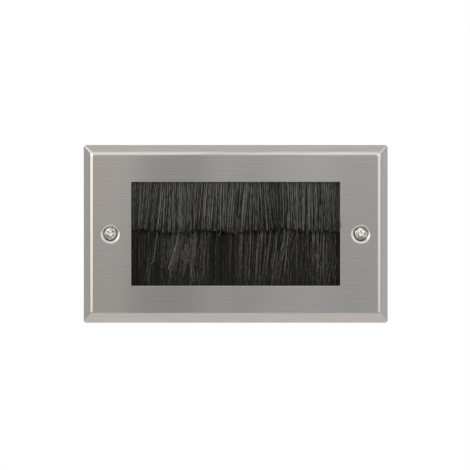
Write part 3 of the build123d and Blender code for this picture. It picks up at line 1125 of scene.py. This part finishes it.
lowerFluff = {
    "count": 215,
    "middle": (-27, 5.5),  # three in five of them stand round here
    "others": (-46, 47),
    "rightX": 45.5,  # and one in ten here
    "reachX": (-47.0, 48.0),
    "bareX": (-13, -1),
    "aside": 16,  # how far they are moved that would stand in the bare place
    "middleBottom": (-19, -8),
    "middleLength": (6, 14),
    "loose": 0.6,  # share of the others that starts above the channel
    "otherBottom": (-24, -9),
    "otherLength": (6, 20),
    "channelZ": -25.5,
    "top": 1.5,
    "lean": (0.12, 0.14),
    "y": (0.75, 1.15),
    "crimpLength": 2,
    "crimp": 0.1,
    "middleCrimp": 0.16,
    "crimpY": 0.08,
    "edgeX": 50.3,
    "hooked": 0.3,
    "tone": (0.75, 0.22),
}


def lowerStrays(dice):
    # Thin crimped ones that wander in front of the others, most of them left of the middle
    f = lowerFluff
    for i in range(f["count"]):
        middle = i % 5 < 3
        x = dice.gauss(*f["middle"]) if middle else dice.uniform(*f["others"])
        x = f["rightX"] + x / 20 if i % 10 == 4 else x
        x = max(f["reachX"][0], min(f["reachX"][1], x))
        x -= f["aside"] if f["bareX"][0] < x < f["bareX"][1] else 0
        if middle:
            bottom = dice.uniform(*f["middleBottom"])
            length = dice.uniform(*f["middleLength"])
        else:
            loose = dice.random() < f["loose"]
            bottom = dice.uniform(*f["otherBottom"]) if loose else f["channelZ"]
            length = dice.uniform(*f["otherLength"])
        top = min(f["top"], bottom + length)
        lean = dice.gauss(*f["lean"])
        y = dice.uniform(*f["y"])
        points = []
        steps = max(3, int((top - bottom) / f["crimpLength"]))
        crimp = f["middleCrimp" if middle else "crimp"]
        for k in range(steps + 1):
            z = bottom + (top - bottom) * k / steps
            px = x + lean * (z - bottom) + dice.gauss(0, crimp)
            px = max(-f["edgeX"], min(f["edgeX"], px))
            points.append((px, y + dice.gauss(0, f["crimpY"]), z))
        if dice.random() < f["hooked"]:
            px, py, pz = points[-1]
            turn = dice.choice((-1, 1))
            points += [(px + 0.5 * turn, py, pz + 0.5), (px + 1.1 * turn, py, pz + 0.2)]
        yield points, abs(dice.gauss(*f["tone"]))


curtainParts = (("upper", upperNylon, upperStrays), ("lower", lowerNylon, lowerStrays))
for name, material, strays in curtainParts:
    curtain = growCurtain(name, material, strays)
    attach(curtain, "root")
    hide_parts(f"{name}_bristles")
print("bristles grown")


# Solids that are right as they are: merged, edges broken a little, and given their finish
keptSolids = {"brush_frame": (blackMoulding, 0.15)}
for place in ("upper", "lower"):
    keptSolids[f"{place}_clamp_bar"] = (blackMoulding, 0.15)
    keptSolids[f"{place}_brush_channel"] = (channelAluminium, 0.0)
    keptSolids[f"{place}_core_wire"] = (wireSteel, 0.0)
for number in range(1, 5):
    keptSolids[f"stud_washer_{number}"] = (zincPlate, 0.05)
    keptSolids[f"stud_nut_{number}"] = (zincPlate, 0.05)

for node, (material, edge) in keptSolids.items():
    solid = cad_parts[node]
    solid.data.materials.clear()
    solid.data.materials.append(material)
    if edge:
        weld = solid.modifiers.new("weld", "WELD")
        weld.merge_threshold = 1e-6
        breakEdge = solid.modifiers.new("breakEdge", "BEVEL")
        breakEdge.width = edge * mm
        breakEdge.segments = 2
        breakEdge.limit_method = "ANGLE"
        breakEdge.angle_limit = math.radians(35)
print("kept solids finished")


# Floor: a pale round table well below the plate, which fades into the white room
floorSetup = {
    "height": -200.0,
    "radius": 520.0,
    "colour": (0.85, 0.825, 0.79),
    "fade": (0.45, 0.97),  # of the radius, from the plain floor to white
    "shadowDepth": 0.45,
    "whiteInShine": 0.77,
    "shineColour": (0.94, 0.9, 0.9),
}


def raysOf(tree):
    # 1 for the camera's own rays, and 1 for those of gloss and glass
    path = addNode(tree, "LightPath").outputs
    shine = calc(tree, "MAXIMUM", path["Is Glossy Ray"], path["Is Transmission Ray"])
    return path["Is Camera Ray"], shine


def makeFloorFinish():
    f = floorSetup
    material = bpy.data.materials.new("paleFloor")
    tree, surface = emptyTree(material, "OutputMaterial")
    place = (objectPlace(tree),)
    distance = addNode(tree, "VectorMath", place, operation="LENGTH").outputs["Value"]
    start, end = (share * f["radius"] * mm for share in f["fade"])
    fade = remap(tree, distance, 1.0, 0.0, start, end)
    camera, shine = raysOf(tree)
    glow = tones(tree, shine, (1, 1, 1), f["shineColour"])
    matt = addNode(tree, "BsdfDiffuse", {"Color": (*f["colour"], 1)})
    white = addNode(tree, "Emission", {"Color": glow, "Strength": 1.0})
    share = calc(tree, "SUBTRACT", 1.0, calc(tree, "MULTIPLY", fade, f["shadowDepth"]))
    share = calc(tree, "MULTIPLY", share, camera)
    share = calc(tree, "MULTIPLY_ADD", shine, f["whiteInShine"], share)
    inputs = (share, matt.outputs[0], white.outputs[0])
    tree.links.new(addNode(tree, "MixShader", inputs).outputs[0], surface)
    return material


def layFloor():
    bm = bmesh.new()
    circle = circleRing(bm, 0, floorSetup["radius"], 0, 96)
    for vert in circle:
        vert.co = (vert.co.x, vert.co.z, 0)
    bm.faces.new(circle)
    floor = pieceFrom(bm, "paleFloor", makeFloorFinish())
    floor.location.z = floorSetup["height"] * mm


layFloor()


# Light: a white room, darker on the side of the camera, and three soft boxes
roomSetup = {
    "ambient": 0.62,  # what lights the matt surfaces
    "ambientColour": (1, 0.995, 0.985),
    "depthStops": (
        (-1.0, 0.375), (-0.55, 0.41), (-0.25, 0.53), (0.1, 0.57), (0.32, 0.78), (0.7, 1.0),
    ),
    "toRight": 0.06,
    "toBothEnds": 0.12,
    "upward": 0.03,
    "corners": 0.4,  # up and down at the left, half of it at the right
    "cornerStart": 0.36,
    "cornerEnd": 0.5,
    "cardSlant": 0.06,
    # In front of the plate: by how far aside, near the middle and over the whole width
    "cards": (
        (-0.15, 1.25), (-0.09, 1.2), (-0.08, 1.5), (-0.074, 1.43), (-0.07, 1.05), (-0.063, 0.74),
        (-0.05, 0.96), (-0.036, 0.84), (-0.025, 0.78), (-0.0195, 1.2), (-0.015, 1.45),
        (-0.006, 1.18), (0.01, 0.94), (0.028, 1.3), (0.04, 1.2), (0.056, 1.45), (0.07, 1.08),
        (0.1, 1.25), (0.16, 1.0),
    ),
    # and by how far down or up
    "shelves": (
        (-1.0, 1.5), (-0.35, 1.3), (-0.16, 1.0), (-0.05, 0.92), (0.1, 1.3), (0.22, 2.1),
        (0.4, 2.6), (0.75, 3.0), (1.0, 3.0),
    ),
    "tints": (
        (-1.0, (1.045, 1.0, 0.96)),
        (-0.12, (1.03, 1.0, 0.975)),
        (0.09, (0.975, 1.0, 1.03)),
        (0.3, (0.99, 1.0, 1.01)),
        (1.0, (1.01, 1.0, 0.99)),
    ),
}
softBoxes = {
    "leftBox": {"place": (-956, -720, 290), "size": (1100, 1000), "power": 4.15},
    "rightBox": {"place": (763, -926, 160), "size": (1100, 800), "power": 2.2},
    "topBox": {"place": (0, -830, 780), "size": (1400, 760), "power": 0.5},
}


def stopsAlong(tree, value, stops):
    # A ramp through (value, strength) or (value, colour) stops
    first, last = stops[0][0], stops[-1][0]
    ramp = addNode(tree, "ValToRGB", (remap(tree, value, 0, 1, first, last),))
    marks = ramp.color_ramp.elements
    while len(marks) < len(stops):
        marks.new(0.5)
    for mark, (place, level) in zip(marks, stops):
        mark.position = (place - first) / (last - first)
        mark.color = (*(level if isinstance(level, tuple) else (level,) * 3), 1)
    return ramp.outputs["Color"]


def lightRoom():
    r = roomSetup
    world = bpy.data.worlds.new("whiteRoom")
    scene.world = world
    tree, surface = emptyTree(world, "OutputWorld")
    # Generated coordinates of the sky are the direction looked in: 1 in y is behind the plate
    direction = addNode(tree, "TexCoord").outputs["Generated"]
    aside, depth, up = addNode(tree, "SeparateXYZ", (direction,)).outputs
    front = calc(tree, "MAXIMUM", calc(tree, "MULTIPLY", depth, -1.0), 0.0)
    glow = stopsAlong(tree, depth, r["depthStops"])
    slanted = calc(tree, "MULTIPLY_ADD", up, -r["cardSlant"], aside)
    for value, stops in ((slanted, r["cards"]), (up, r["shelves"])):
        share = calc(tree, "SUBTRACT", stopsAlong(tree, value, stops), 1.0)
        glow = calc(tree, "MULTIPLY", glow, calc(tree, "MULTIPLY_ADD", share, front, 1.0))
    glow = calc(tree, "MULTIPLY_ADD", aside, r["toRight"], glow)
    glow = calc(tree, "MULTIPLY_ADD", calc(tree, "ABSOLUTE", up), r["toBothEnds"], glow)
    glow = calc(tree, "MULTIPLY_ADD", up, r["upward"], glow)
    diagonal = calc(tree, "ABSOLUTE", calc(tree, "MULTIPLY", aside, up))
    diagonal = remap(tree, diagonal, 0.0, 1.0, r["cornerStart"], r["cornerEnd"])
    diagonal = calc(tree, "MULTIPLY", diagonal, calc(tree, "MULTIPLY_ADD", aside, -0.5, 1.0))
    glow = calc(tree, "MULTIPLY_ADD", diagonal, r["corners"], glow)
    tint = stopsAlong(tree, aside, r["tints"])
    camera, shine = raysOf(tree)
    soft, seenByMetal, plain = (
        addNode(tree, "Background", inputs).outputs[0]
        for inputs in (((*r["ambientColour"], 1), r["ambient"]), (tint, glow), ((1, 1, 1, 1), 1.0))
    )
    mixed = addNode(tree, "MixShader", (shine, soft, seenByMetal)).outputs[0]
    mixed = addNode(tree, "MixShader", (camera, mixed, plain)).outputs[0]
    tree.links.new(mixed, surface)

    for name, box in softBoxes.items():
        data = bpy.data.lights.new(name, "AREA")
        data.shape = "RECTANGLE"
        data.size, data.size_y = (edge * mm for edge in box["size"])
        data.energy = box["power"]
        lamp = bpy.data.objects.new(name, data)
        lamp.location = Vector(box["place"]) * mm
        lamp.rotation_euler = (-lamp.location).to_track_quat("-Z", "Y").to_euler()
        lamp.visible_camera = False
        scene.collection.objects.link(lamp)


lightRoom()
print("floor and light set")
